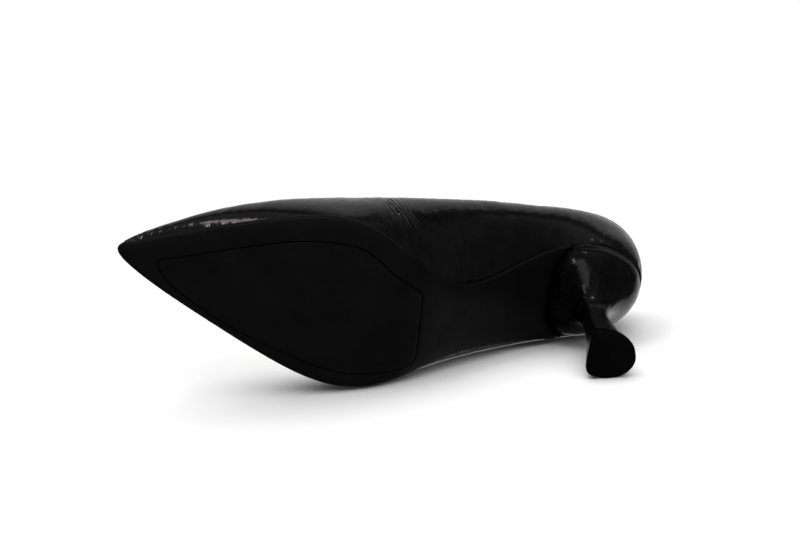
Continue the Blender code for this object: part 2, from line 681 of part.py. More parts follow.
def fastener(name, head, shank, place, finish, collection, cutters, square=False):
    """A headed pin, (radius, length) each, driven down from the boards, and the clearance cutter for it.

    A square one stands at a right angle to the sloping boards; the others stand upright, heads sunk level.
    """
    s, x = place
    slope = (board_surface(s - 1, x) - board_surface(s + 1, x)) / 2
    tilt = math.atan(slope) if square else 0.0
    lowest = board_surface(s, x) if square else board_surface(s + head[0], x)
    where = world(s, x, np.float64(lowest - 0.2))
    profile = [(0, 0), (head[0], 0), (head[0], -head[1]), (shank[0], -head[1]), (shank[0], -shank[1]),
               (0, -shank[1])]
    turned(name, profile, where, finish, collection, FASTENER_STEPS, tilt=tilt)
    wide, deep = head[0] + GAP, head[1] + GAP
    clear, length = shank[0] + GAP, shank[1] + GAP
    room = [(0, 4), (wide, 4), (wide, -deep), (clear, -deep), (clear, -length), (0, -length)]
    return turned("cutter_" + name, room, where, None, cutters, FASTENER_STEPS, tilt=tilt)


def make_fasteners(collection, cutters):
    steel = material("fastener_steel", (0.62, 0.62, 0.60), 0.4, 1.0)
    made = []
    for i, place in enumerate(NAIL_PLACES, 1):
        made.append(("nail", fastener(f"heel_nail_{i}", *NAIL, place, steel, collection, cutters)))
    made.append(("screw", fastener("heel_screw", *SCREW, SCREW_PLACE, steel, collection, cutters)))
    for name, place in zip(("shank_rivet_front", "shank_rivet_rear"), RIVET_PLACES):
        made.append(("rivet", fastener(name, *RIVET, place, steel, collection, cutters, square=True)))
    return made


def main():
    for old in list(bpy.data.objects):
        bpy.data.objects.remove(old, do_unlink=True)
    collection = bpy.data.collections.new(OBJECT_NAME)
    cutters = bpy.data.collections.new("cutters")
    bpy.context.scene.collection.children.link(collection)
    bpy.context.scene.collection.children.link(cutters)
    fasteners = make_fasteners(collection, cutters)
    make_upper(collection)
    make_wall_layers(collection)
    make_outsole(collection, cutters)
    make_boards(collection, cutters, fasteners)
    make_heel(collection, cutters, fasteners)
    make_top_piece(collection, cutters)


main()
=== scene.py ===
"""High heel pump: the looks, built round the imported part.

Lengths in the tables are millimetres. A place on the shoe is (s, x, z): s runs forward from the back of
the heel, x towards the inner (medial) side and z up from the ground. world() turns places into metres.
"""
import json
import math

import bmesh
import bpy
import numpy as np
from mathutils import Matrix, Vector, geometry

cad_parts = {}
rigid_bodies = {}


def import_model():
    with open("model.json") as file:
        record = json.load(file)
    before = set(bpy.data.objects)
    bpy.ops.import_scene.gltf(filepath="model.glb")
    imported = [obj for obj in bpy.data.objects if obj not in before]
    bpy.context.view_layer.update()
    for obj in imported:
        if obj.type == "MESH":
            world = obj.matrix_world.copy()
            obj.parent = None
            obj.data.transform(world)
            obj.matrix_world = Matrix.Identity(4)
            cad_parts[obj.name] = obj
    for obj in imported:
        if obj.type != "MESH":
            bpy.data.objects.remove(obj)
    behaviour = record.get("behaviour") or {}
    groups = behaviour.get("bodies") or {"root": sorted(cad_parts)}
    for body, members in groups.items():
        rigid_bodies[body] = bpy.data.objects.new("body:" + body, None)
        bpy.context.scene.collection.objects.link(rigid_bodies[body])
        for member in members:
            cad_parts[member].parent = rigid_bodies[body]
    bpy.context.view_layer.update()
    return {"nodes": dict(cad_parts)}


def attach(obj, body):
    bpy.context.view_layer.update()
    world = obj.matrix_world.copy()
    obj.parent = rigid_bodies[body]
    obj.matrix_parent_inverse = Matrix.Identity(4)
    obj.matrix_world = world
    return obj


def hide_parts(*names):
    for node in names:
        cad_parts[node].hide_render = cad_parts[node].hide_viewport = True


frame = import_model()
scene = bpy.context.scene

# -------- the shoe's own tables, as in the part
MM = 0.001
MIDDLE_S, MIDDLE_X = 123.5, 0.6

FEATHER_PROFILE = ((-5, 84.5), (10, 82.5), (25, 79.5), (40, 74.5), (55, 66), (70, 54), (85, 40.5),
                   (100, 26.5), (112, 16.8), (125, 9.8), (137, 6.6), (150, 5.7), (165, 5.6), (200, 6.6),
                   (230, 8.6), (252, 11.4))

STATIONS = (
    # foot             lower handle        upper handle        head
    ((247.6, 6.8), (249.9, 7.4, 17), (213, 7.5, 33.5), (170, 5, 43)),
    ((236.5, 13.1), (240.5, 21.0, 16.5), (202, 24, 35.5), (167.5, 13, 43.5)),
    ((209.6, 24.0), (211.5, 34.2, 16.5), (187, 35.5, 37), (160, 22, 46)),
    ((178, 34.7), (178.5, 41.3, 17), (167, 41.5, 39), (149, 29.5, 50)),
    ((147, 40.0), (147.5, 44, 19), (142, 44, 44), (134, 34, 58)),
    ((120, 27.2), (119, 41.2, 24), (115.5, 47.5, 53), (112, 35, 71)),
    ((91.5, 8.6), (91, 29, 39.5), (89.5, 46, 65), (88, 35.5, 86)),
    ((62, 16.5), (61.5, 30, 66.5), (60.5, 42.5, 85), (60, 33, 103)),
    ((32, 26.0), (31.5, 32, 87), (31, 38, 107), (31, 28, 123.5)),
    ((8.2, 21.8), (5.5, 25.4, 94.5), (6.0, 25.0, 121), (9.5, 18.5, 138.5)),
    ((0.4, 4.0), (-2.9, 3.4, 97), (-1.6, 2.5, 124), (2, 2, 142)),
    ((10.8, -14.8), (8.0, -19.0, 95), (6.2, -19.2, 121), (9.2, -13, 138.5)),
    ((32, -23.2), (32, -28.5, 86), (31, -31, 106), (31, -23.5, 122)),
    ((62, -24.6), (62, -33, 67), (61, -36, 84), (60, -29.5, 100)),
    ((92, -26.6), (92, -37, 42), (90, -40, 62), (88, -32.5, 82)),
    ((115, -34.3), (115.5, -41, 25), (114.5, -43, 48), (112, -34, 66)),
    ((139, -38.6), (138.5, -42.5, 18), (137, -43, 41), (134, -33, 55)),
    ((166, -33.3), (166.5, -37.5, 16.5), (158, -37, 37), (149, -26.5, 48.5)),
    ((203, -17.9), (205, -21.5, 15), (182, -22.5, 35.5), (160, -16, 45)),
    ((234, -3.4), (237, -6.3, 15.5), (200, -8.5, 35), (167.5, -4.5, 43.5)),
)

HEEL_SECTIONS = (
    (5.8, 9.7, 31.0, -1.8, 10.8, 5.0),
    (10, 10.7, 30.8, -1.5, 9.8, 4.8),
    (18, 13.3, 30.5, -0.9, 7.9, 4.4),
    (28, 16.4, 30.3, -0.3, 6.3, 4.0),
    (38, 18.6, 30.4, 0.1, 5.5, 3.6),
    (46, 19.1, 31.0, 0.4, 5.9, 3.3),
    (53, 17.4, 32.6, 1.0, 7.8, 3.1),
    (59, 14.0, 35.0, 1.7, 10.9, 3.0),
    (64, 9.8, 38.2, 2.4, 15.0, 2.9),
    (68.5, 5.6, 41.4, 2.7, 18.7, 2.8),
    (74, 2.2, 44.4, 2.4, 21.8, 2.7),
    (81, 0.9, 46.0, 1.6, 24.0, 2.7),
)

TREAD_OUTLINE = ((229.1, 4.9), (228.3, 6.3), (225, 7.8), (210.4, 12.9), (193, 19.1), (176, 24.7), (162, 28.1),
                 (149.6, 29.0), (140.6, 28.5), (132.9, 25.2), (124, 18.2), (114.7, 12.1), (109.1, 7.8),
                 (108.2, -8.5), (107.2, -24.9), (113.4, -28.7), (122.3, -30.4), (135, -31.3),
                 (149.7, -30.2), (163, -27.2), (180, -22.5), (197.7, -16.2), (211, -9.9), (223.2, -2.2),
                 (227.4, 2.3))
TREAD_CORNERS = (12, 14)  # the two ends of the panel's straight back edge

SOLE_LIP = 0.7  # the outsole stands this far outside the upper
SOLE_THICK_FRONT, SOLE_THICK_WAIST = 4.3, 3.0
SOLE_EDGE_ROUND = 8.0  # width of the margin over which the sole curls up to its edge
SOLE_CURL = 0.42  # share of the thickness lost at the edge
SOLE_CORNER = 1.1  # radius of the edge itself
BELLY_SHARE = 0.021  # how far the bottom bulges under the forefoot, as a share of its width
JOINT = 0.3  # between the upper and the sole or heel
UPPER_THICK = 1.6  # at the folded topline
LINING_THICK = 0.7
SOCK_HIGH, SOCK_HIGH_FRONT = 8.2, 6.5  # top of the sock above the upper's underside
HEEL_TOP_ROW = 81.0
HEEL_LEAN = 3.6  # how far the back of the heel's seat leans to the medial side
HEEL_FRONT_SHARE = 0.36  # of a section's length, before its widest place
HEEL_BACK_POWER = 1.95  # roundness of a section's back; its front has its own in the table
BREAST_EDGE = 0.362  # how far round the heel, from the back, its cover reaches
TOP_PIECE_HEIGHT = 5.5
PANEL_GAP = 0.55  # width of the groove round the tread panel
GROOVE_DEPTH = 0.9

# Nominal sizes of the skins, for measuring along them.
SHOE_ROUND, WALL_RISE = 560, 62
HEEL_ROUND, HEEL_RISE = 60, 75


# -------- curves and surfaces, as in the part
def spline(knots, values, x, period=None):
    """Smooth cubic through the knots; values may be vectors. A period closes the curve on itself."""
    k = np.asarray(knots, float)
    y = np.asarray(values, float)
    x = np.asarray(x, float)
    if period:
        wrap = 4
        k = np.concatenate([k[-wrap:] - period, k, k[:wrap + 1] + period])
        y = np.concatenate([y[-wrap:], y, y[:wrap + 1]])
        x = (x - k[wrap]) % period + k[wrap]
    shape = x.shape + y.shape[1:]
    y = y.reshape(len(k), -1)
    x = x.reshape(-1)
    h = np.diff(k)
    slope = np.diff(y, axis=0) / h[:, None]
    system = np.eye(len(k))
    bend = np.zeros_like(y)
    for i in range(1, len(k) - 1):
        system[i, i - 1:i + 2] = h[i - 1], 2 * (h[i - 1] + h[i]), h[i]
        bend[i] = 6 * (slope[i] - slope[i - 1])
    c = np.linalg.solve(system, bend)
    i = np.clip(np.searchsorted(k, x) - 1, 0, len(k) - 2)
    w = h[i][:, None]
    a = (k[i + 1] - x)[:, None]
    b = (x - k[i])[:, None]
    smooth = (c[i] * a**3 + c[i + 1] * b**3) / (6 * w)
    smooth += (y[i] / w - c[i] * w / 6) * a + (y[i + 1] / w - c[i + 1] * w / 6) * b
    return smooth.reshape(shape)


def ease(value, low, high):
    """Smooth step from 0 at low to 1 at high."""
    t = np.clip((np.asarray(value, float) - low) / (high - low), 0, 1)
    return t * t * (3 - 2 * t)


def rounded(distance, radius):
    """How far a rounded edge of some radius falls away, at a distance from the edge."""
    corner = np.clip(radius - distance, 0, radius)
    return radius - np.sqrt(radius**2 - corner**2)


def bump(value, middle, width):
    """A bell of height 1 round the middle."""
    return np.exp(-((value - middle) / width)**2)


def world(s, x, z):
    """Places on the shoe, in metres, in the part's frame."""
    return np.stack(np.broadcast_arrays((x - MIDDLE_X) * MM, (MIDDLE_S - s) * MM, z * MM), axis=-1)


def ripple(a, b, wave_a, wave_b, seed):
    """A smooth random field of about unit strength, with its own wavelength along each coordinate."""
    rng = np.random.default_rng(seed)
    count = 26
    field = 0.0
    for _ in range(count):
        along, across = rng.normal(0, 1, 2)
        field = field + np.cos(2 * math.pi * (along / wave_a * a + across / wave_b * b + rng.random()))
    return field * math.sqrt(2 / count)


def feather_height(s):
    table = np.array(FEATHER_PROFILE, float)
    return spline(table[:, 0], table[:, 1], s)


LOOPS = np.array([((*foot, 0), *others) for foot, *others in STATIONS], float)
LOOPS[:, 0, 2] = feather_height(LOOPS[:, 0, 0])
STATION_U = np.arange(len(STATIONS)) / len(STATIONS)


def around(count):
    """Places once round the shoe, closer together at toe and heel."""
    v = np.linspace(0, 1, count, endpoint=False)
    return v - 0.4 * np.sin(4 * math.pi * v) / (4 * math.pi)


def wall(u, t):
    """Outer surface of the upper at each of the rows t and columns u: (rows, columns, 3) as (s, x, z)."""
    column = spline(STATION_U, LOOPS, u, period=1.0)
    column[:, 0, 2] = feather_height(column[:, 0, 0])
    t = np.asarray(t, float)
    if t.ndim == 1:
        t = np.repeat(t[:, None], len(u), axis=1)
    t = t[..., None]
    foot, lower, upper, head = (column[None, :, k] for k in range(4))
    return (1 - t)**3 * foot + 3 * t * (1 - t)**2 * lower + 3 * t * t * (1 - t) * upper + t**3 * head


def unit(vectors):
    return vectors / np.maximum(np.linalg.norm(vectors, axis=-1, keepdims=True), 1e-12)


def wall_normal(u, t):
    step = 1e-4
    t = np.asarray(t, float)
    return unit(np.cross(wall(u + step, t) - wall(u - step, t), wall(u, t + step) - wall(u, t - step)))


def outline(inset, count=900):
    """The feather line seen from above as (s, x) places, moved inwards by inset."""
    return outline_at(around(count), inset)


def outline_at(u, inset):
    line = spline(STATION_U, LOOPS[:, 0, :2], u, period=1.0)
    return line + inset * square_to(line)


def square_to(line):
    """Unit vectors square to a closed (s, x) line."""
    ahead = unit(np.roll(line, -1, axis=0) - np.roll(line, 1, axis=0))
    return np.stack([-ahead[:, 1], ahead[:, 0]], axis=1)


def distance_to(line, places):
    """Distance of each (s, x) place from a closed line, worked out in batches."""
    run = np.roll(line, -1, axis=0) - line
    length2 = (run**2).sum(-1)
    found = []
    for batch in np.array_split(places, max(1, len(places) // 1500)):
        offset = batch[:, None, :] - line[None]
        along = np.clip((offset * run).sum(-1) / length2, 0, 1)
        found.append(np.sqrt(((offset - along[..., None] * run)**2).sum(-1)).min(axis=1))
    return np.concatenate(found)


def inside_line(line, places):
    """Which (s, x) places lie inside a closed line."""
    x, y = places[:, 0], places[:, 1]
    inside = np.zeros(len(places), bool)
    for (ax, ay), (bx, by) in zip(line, np.roll(line, -1, axis=0)):
        if ay != by:
            inside ^= ((ay > y) != (by > y)) & (x < (bx - ax) * (y - ay) / (by - ay) + ax)
    return inside


FEATHER = outline(0.0, 1600)
FEATHER = np.roll(FEATHER, -FEATHER[:, 0].argmax(), axis=0)
TURN = FEATHER[:, 0].argmin()  # the heel's back
LATERAL_SIDE, MEDIAL_SIDE = FEATHER[TURN:], FEATHER[:TURN + 1][::-1]


def side_limits(s):
    """The feather line's lateral and medial x at each s."""
    return (np.interp(s, LATERAL_SIDE[:, 0], LATERAL_SIDE[:, 1]),
            np.interp(s, MEDIAL_SIDE[:, 0], MEDIAL_SIDE[:, 1]))


def bottom_height(s, x):
    """Underside of the lasted upper."""
    lateral, medial = side_limits(s)
    width = np.maximum(medial - lateral, 0.5)
    across = np.clip((2 * x - medial - lateral) / width, -1, 1)
    return feather_height(s) - BELLY_SHARE * width * ease(s, 60, 110) * (1 - across**2)


def stacked(s, x, offset):
    """Height at an offset above the underside, measured square to the slope."""
    slope = (feather_height(s + 1) - feather_height(s - 1)) / 2
    return bottom_height(s, x) + offset * np.sqrt(1 + slope**2)


def sole_bottom(s, x, edge):
    """Underside of the outsole at a distance from its edge: it curls up to a rounded edge."""
    thick = SOLE_THICK_WAIST + (SOLE_THICK_FRONT - SOLE_THICK_WAIST) * ease(s, 85, 120)
    curl = np.clip(1 - edge / SOLE_EDGE_ROUND, 0, 1)**2
    height = bottom_height(s, x) - JOINT - thick * (1 - SOLE_CURL * curl)
    return np.maximum(height, 0.0) + rounded(edge, SOLE_CORNER)


def heel_at(u, t):
    """Outer surface of the covered heel; u goes round from the back, t from foot to seat."""
    table = np.array(HEEL_SECTIONS, float)
    u, t = np.broadcast_arrays(np.asarray(u, float), np.asarray(t, float))
    z = table[0, 0] + (HEEL_TOP_ROW - table[0, 0]) * t
    back, front, centre, half, power = np.moveaxis(spline(table[:, 0], table[:, 1:], z), -1, 0)
    angle = 2 * math.pi * u
    turn_cos, turn_sin = np.cos(angle), np.sin(angle)
    power = np.where(turn_cos > 0, HEEL_BACK_POWER, power)
    length = np.where(turn_cos > 0, 1 - HEEL_FRONT_SHARE, HEEL_FRONT_SHARE) * (front - back)
    widest = front - HEEL_FRONT_SHARE * (front - back)
    s = widest - length * np.sign(turn_cos) * np.abs(turn_cos)**(2 / power)
    x = centre - half * np.sign(turn_sin) * np.abs(turn_sin)**(2 / power)
    x = x + HEEL_LEAN * ease(z, 50, HEEL_TOP_ROW) * np.maximum(turn_cos, 0)**1.5
    seat = bottom_height(s, x) - JOINT
    return np.stack([s, x, z + ease(z, 40, HEEL_TOP_ROW) * (seat - HEEL_TOP_ROW)], axis=-1)


def heel_normal(u, t):
    step = 1e-4
    t = np.clip(t, step, 1 - step)
    round_it = heel_at(u + step, t) - heel_at(u - step, t)
    return unit(np.cross(round_it, heel_at(u, t + step) - heel_at(u, t - step)))


# -------- mesh helpers
def piece(name, verts, faces, finish, smooth=None, uv=None):
    """A mesh object from places in metres; smooth is the angle above which an edge stays sharp."""
    mesh = bpy.data.meshes.new(name)
    mesh.from_pydata(np.asarray(verts).tolist(), [], [list(map(int, f)) for f in faces])
    mesh.validate()
    mesh.shade_smooth()
    if smooth:
        mesh.set_sharp_from_angle(angle=math.radians(smooth))
    if uv is not None:
        layer = mesh.uv_layers.new(name="surface")
        corner = np.zeros(len(mesh.loops), np.int32)
        mesh.loops.foreach_get("vertex_index", corner)
        layer.data.foreach_set("uv", np.asarray(uv, np.float32)[corner].ravel())
    mesh.materials.append(finish)
    made = bpy.data.objects.new(name, mesh)
    scene.collection.objects.link(made)
    return made


def grid_faces(rows, columns, closed, first=0):
    j, i = np.meshgrid(np.arange(rows - 1), np.arange(columns if closed else columns - 1), indexing="ij")
    k = (i + 1) % columns
    quads = np.stack([j * columns + i, j * columns + k, (j + 1) * columns + k, (j + 1) * columns + i], -1)
    return (quads.reshape(-1, 4) + first).tolist()


def sheet(name, places, closed, finish, along=None, up=None):
    """A piece over a grid of places in millimetres, (rows, columns, 3). Where the finish lies along the
    sheet, along and up are the distances of its columns and, in a column, of its rows."""
    uv = None
    if along is not None:
        uv = np.stack(np.broadcast_arrays(along * MM, up * MM), axis=-1).reshape(-1, 2)
    faces = grid_faces(*places.shape[:2], closed)
    return piece(name, world(*np.moveaxis(places, -1, 0)).reshape(-1, 3), faces, finish, uv=uv)


def settle(made, nodes):
    """Puts a finished piece on the shoe's one body, in place of its CAD nodes."""
    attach(made, "root")
    if nodes:
        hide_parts(*nodes)


def thicken(made, thickness):
    """Gives a sheet its thickness, behind its faces."""
    shell = made.modifiers.new("Solidify", "SOLIDIFY")
    shell.thickness = thickness * MM
    shell.offset = -1.0
    shell.use_rim = True


def soften(made):
    """Rounds a sheet's cut edges."""
    bevel = made.modifiers.new("Edge", "BEVEL")
    bevel.width = 0.18 * MM
    bevel.segments = 2
    bevel.limit_method = "ANGLE"
    bevel.angle_limit = math.radians(50)


def fix_normals(made, facing=None, merge=0.0):
    """Turns all faces the same way: facing says which sign of z the big surface looks to, -1 or 1.
    Places closer together than merge, in millimetres, are joined first."""
    bm = bmesh.new()
    bm.from_mesh(made.data)
    if merge:
        bmesh.ops.remove_doubles(bm, verts=bm.verts[:], dist=merge * MM)
    bmesh.ops.recalc_face_normals(bm, faces=bm.faces[:])
    if facing and facing * sum(f.normal.z * f.calc_area() for f in bm.faces) < 0:
        bmesh.ops.reverse_faces(bm, faces=bm.faces[:])
    bm.to_mesh(made.data)
    bm.free()


def inside_region(loops, places):
    """Which places lie inside loops[0] and outside the others."""
    inside = inside_line(loops[0], places)
    for loop in loops[1:]:
        inside &= ~inside_line(loop, places)
    return inside


def filled(loops, rings, spacing):
    """Triangles over the (s, x) region inside loops[0] and outside the others. rings are more places to
    pass through, and the rest is a grid of the given spacing. Returns (places, triangles, loop indices)."""
    low, high = loops[0].min(0), loops[0].max(0)
    s, x = np.meshgrid(np.arange(low[0], high[0], spacing), np.arange(low[1], high[1], spacing),
                       indexing="ij")
    s = s + (np.arange(s.shape[1]) % 2) * spacing / 2
    grid = np.stack([s.ravel(), x.ravel()], axis=1)
    extra = np.vstack([*rings, grid])
    keep = inside_region(loops, extra)
    extra, was_grid = extra[keep], np.arange(len(extra))[keep] >= len(extra) - len(grid)
    clear = np.min([distance_to(loop, extra) for loop in loops], axis=0)
    extra = extra[clear > np.where(was_grid, 0.6 * spacing, 0.08)]
    places = np.vstack([*loops, extra])
    edges, starts, first = [], [], 0
    for loop in loops:
        index = np.arange(len(loop)) + first
        edges += np.stack([index, np.roll(index, -1)], axis=1).tolist()
        starts.append(index)
        first += len(loop)
    found = geometry.delaunay_2d_cdt([Vector(p) for p in places], edges, [], 0, 1e-5)
    verts, triangles = np.array([v[:] for v in found[0]]), np.array([list(f) for f in found[2]])
    origin = np.full(len(places), -1)
    for new, olds in enumerate(found[3]):
        origin[olds] = new
    keep = inside_region(loops, verts[triangles].mean(axis=1))
    return verts, triangles[keep], [origin[index] for index in starts]


# -------- materials
def add_node(tree, kind, links=(), **values):
    """A shader node; links are (source, input) and the values are its settings or inputs by name."""
    node = tree.nodes.new("ShaderNode" + kind)
    for key, value in values.items():
        if key in node.bl_rna.properties:
            setattr(node, key, value)
        else:
            node.inputs[key.replace("_", " ")].default_value = value
    for source, socket in links:
        tree.links.new(source, node.inputs[socket])
    return node


class Paint:
    """A procedural material: a Principled shader and short ways to add texture nodes."""

    def __init__(self, name, colour, roughness, **constants):
        self.material = bpy.data.materials.new(name)
        self.material.use_nodes = True
        self.tree = self.material.node_tree
        self.shader = self.tree.nodes["Principled BSDF"]
        self.shader.inputs["Base Color"].default_value = (*colour, 1)
        self.shader.inputs["Roughness"].default_value = roughness
        for socket, value in constants.items():
            self.shader.inputs[socket.replace("_", " ")].default_value = value
        self.height = None

    def add(self, kind, links=(), **values):
        return add_node(self.tree, kind, links, **values)

    def place(self, scale, on_surface=False):
        """Texture places: per metre in the object's own space, or along the sheet where it has a map.
        The scale is one number or three."""
        if on_surface:
            source = self.add("UVMap", uv_map="surface").outputs[0]
        else:
            source = self.add("TexCoord").outputs["Object"]
        return self.add("Mapping", [(source, 0)], Scale=np.broadcast_to(scale, 3).tolist()).outputs[0]

    def noise(self, scale, detail=3.0, rough=0.55, on_surface=False):
        place = self.place(scale, on_surface)
        return self.add("TexNoise", [(place, "Vector")], Scale=1.0, Detail=detail, Roughness=rough).outputs[0]

    def cells(self, scale, on_surface=False):
        place = self.place(scale, on_surface)
        return self.add("TexVoronoi", [(place, "Vector")], Scale=1.0).outputs["Distance"]

    def ramp(self, source, low, high, from_low=0.3, from_high=0.7):
        return self.add("MapRange", [(source, 0)], From_Min=from_low, From_Max=from_high,
                        To_Min=low, To_Max=high).outputs[0]

    def tint(self, source, other, low=0.35, high=0.65):
        """Blends the base colour towards another where the source is high."""
        factor = self.ramp(source, 0, 1, low, high)
        mix = self.add("Mix", [(factor, 0)], data_type="RGBA")
        before = self.shader.inputs["Base Color"]
        mix.inputs[6].default_value = before.default_value
        if before.is_linked:
            self.tree.links.new(before.links[0].from_socket, mix.inputs[6])
        mix.inputs[7].default_value = (*other, 1)
        self.tree.links.new(mix.outputs[2], before)

    def vary(self, source, low, high):
        """Roughness between two values."""
        self.tree.links.new(self.ramp(source, low, high), self.shader.inputs["Roughness"])

    def relief(self, source, depth, coat=False):
        """Adds surface relief, its depth in millimetres."""
        links = [(source, "Height")] + ([(self.height, "Normal")] if self.height else [])
        node = self.add("Bump", links, Strength=1.0, Distance=depth * MM)
        self.height = node.outputs[0]
        self.tree.links.new(self.height, self.shader.inputs["Normal"])
        if coat:
            self.tree.links.new(self.height, self.shader.inputs["Coat Normal"])


def patent(name, crinkle, gloss):
    """Black patent leather: a clear glossy film over fine creased grain, its depth in millimetres."""
    p = Paint(name, (0.0012, 0.0012, 0.0013), 0.28, Coat_Weight=gloss, Coat_Roughness=0.035, Coat_IOR=1.5,
              Specular_IOR_Level=0.06)
    p.tint(p.noise(160), (0.0026, 0.0025, 0.0026))
    p.vary(p.noise(420), 0.22, 0.36)
    p.relief(p.noise((900, 260, 500), 4.0, 0.6, True), crinkle, coat=True)
    p.relief(p.cells((1500, 900, 1200), True), crinkle * 0.35, coat=True)
    p.relief(p.noise((90, 60, 70), 2.0, 0.5, True), crinkle * 2.2, coat=True)
    p.relief(p.noise((420, 160, 300), 2.0, 0.5, True), crinkle * 1.1, coat=True)
    return p.material


def sole_rubber(name, shade, stipple, shine=0.13):
    """Matt black rubber, mottled a little, with fine stipple."""
    p = Paint(name, (shade, shade, shade * 1.04), 0.5, Specular_IOR_Level=shine)
    p.tint(p.noise(60, 5.0), (shade * 1.5, shade * 1.5, shade * 1.55))
    p.vary(p.noise(240, 4.0), 0.42, 0.58)
    p.relief(p.noise(2600, 2.0), stipple)
    p.relief(p.noise(130, 2.0), stipple * 1.6)
    return p.material


def lining_leather(name, colour, nap):
    """Kid leather with pores; nap 1 makes it suede."""
    p = Paint(name, colour, 0.55, Specular_IOR_Level=0.4, Sheen_Weight=0.25 if nap else 0.05)
    p.tint(p.noise(55, 4.0), tuple(c * 0.88 for c in colour))
    p.tint(p.cells(1400), tuple(c * 0.80 for c in colour), 0.5, 0.9)
    p.vary(p.noise(300), 0.48 + 0.3 * nap, 0.64 + 0.3 * nap)
    p.relief(p.cells(1500), 0.05 + 0.05 * nap)
    p.relief(p.noise(500, 4.0), 0.06 + 0.08 * nap)
    return p.material


def thread(name, colour):
    p = Paint(name, colour, 0.6, Sheen_Weight=0.3)
    p.tint(p.noise((3500, 900, 3500), 2.0), tuple(c * 0.6 for c in colour))
    p.relief(p.noise((6000, 1500, 6000), 1.0), 0.05)
    return p.material


def plain(name, colour, other, roughness, grain, depth, metallic):
    """A workaday finish for the pieces inside: mottled colour, uneven roughness and a little grain."""
    p = Paint(name, colour, roughness, Metallic=metallic)
    p.tint(p.noise(tuple(g * 0.4 for g in grain), 5.0), other)
    p.vary(p.noise(grain, 3.0), roughness * 0.85, min(1.0, roughness * 1.15))
    p.relief(p.noise(grain, 4.0), depth)
    return p.material


# Name, colour, mottling, roughness, grain and its depth, metal or not, and the CAD nodes that stay.
INNER_FINISHES = (
    ("fibreboard_fine", (0.40, 0.28, 0.18), (0.29, 0.19, 0.11), 0.9, (500, 500, 900), 0.1, 0.0,
     "insole_board shank_board"),
    ("steel_fine", (0.56, 0.57, 0.59), (0.44, 0.45, 0.47), 0.35, (300, 2400, 300), 0.02, 1.0,
     "steel_shank heel_tube top_piece_pin heel_screw heel_nail_1 heel_nail_2 heel_nail_3 heel_nail_4 "
     "shank_rivet_front shank_rivet_rear"),
    ("cork_fine", (0.46, 0.31, 0.19), (0.25, 0.15, 0.08), 0.95, (420, 420, 420), 0.3, 0.0, "bottom_filler"),
    ("stiffener_fine", (0.62, 0.60, 0.55), (0.52, 0.50, 0.45), 0.75, (1200, 1200, 1200), 0.08, 0.0,
     "toe_puff heel_counter"),
    ("interlining_fine", (0.70, 0.68, 0.62), (0.58, 0.56, 0.50), 0.92, (1600, 700, 700), 0.12, 0.0,
     "interlining_medial interlining_lateral topline_tape"),
    ("heel_plastic_fine", (0.05, 0.05, 0.052), (0.035, 0.035, 0.037), 0.4, (700, 700, 700), 0.03, 0.0,
     "heel_block"),
)


def dress_inner_nodes():
    for *looks, nodes in INNER_FINISHES:
        finish = plain(*looks)
        for name in nodes.split():
            for holder in frame["nodes"][name].material_slots:
                holder.material = finish


# -------- the upper
UPPER_COLUMNS = 1300


def wall_relief(u, t, place):
    """How far the patent leather stands out from the last, in millimetres."""
    s, x, z = np.moveaxis(place, -1, 0)
    u = np.broadcast_to(u, s.shape)
    girth = u * SHOE_ROUND
    medial = ease(u, 0.10, 0.2) * (1 - ease(u, 0.34, 0.42))
    lateral = ease(u, 0.62, 0.70) * (1 - ease(u, 0.80, 0.90))
    # flex creases, in patches, weaker on the lateral side; each runs where slanted stays the same
    slanted = s - 0.667 * x - 0.5 * z
    creases = 0.78 * slanted
    wander = 0.8 * ripple(creases, z, 34, 26, 3)
    sharp = np.abs(np.sin(math.pi * (creases + wander) / 1.75))**0.7
    patchy = 0.65 + 0.35 * np.tanh(1.4 * ripple(creases, z, 7, 16, 5))
    flex = ease(t, 0.02, 0.09) * patchy
    out = 0.55 * flex * bump(slanted, 85.5, 9.5) * (sharp - 0.6) * medial
    flex = flex * bump(s, 126 - 0.1 * z, 11)
    sharp = np.abs(np.sin(math.pi * (0.85 * s + 0.4 * z + wander) / 2.6))
    out += 0.16 * flex * (sharp - 0.6) * lateral
    # pleats where the leather is drawn under the toe and the seat, and waves all over
    toe = np.clip(bump(u, 0, 0.13) + bump(u, 1, 0.11), 0, 1) * ease(s, 210, 227)
    pleats = ripple(girth, z, 3.4, 60, 11)
    out += 0.06 * toe * pleats * (1 - ease(t, 0.10, 0.30)) * ease(t, -0.02, 0.03)
    seat = bump(u, 0.5, 0.12)
    out += 0.07 * seat * ripple(girth, z, 4.5, 40, 12) * (1 - ease(t, 0.05, 0.2)) * ease(t, 0, 0.04)
    out += 0.035 * ripple(girth, z, 9, 22, 13) + 0.05 * ripple(girth, z, 40, 45, 14)
    out += 0.012 * ripple(girth, z, 3.2, 9, 15) * (1 - ease(s, 110, 125))
    return out


def upper_columns():
    """Columns round the upper, much closer together where the flex creases run."""
    v = np.linspace(0, 1, 4001)
    weight = 1 / (1 - 0.4 * np.cos(4 * math.pi * v)) + 2.6 * bump(v, 0.25, 0.045) + 1.2 * bump(v, 0.73, 0.05)
    weight += 1.1 * (bump(v, 0, 0.06) + bump(v, 1, 0.06))
    run = np.concatenate([[0], np.cumsum((weight[1:] + weight[:-1]) / 2)])
    return np.interp(np.arange(UPPER_COLUMNS) / UPPER_COLUMNS * run[-1], run, v)


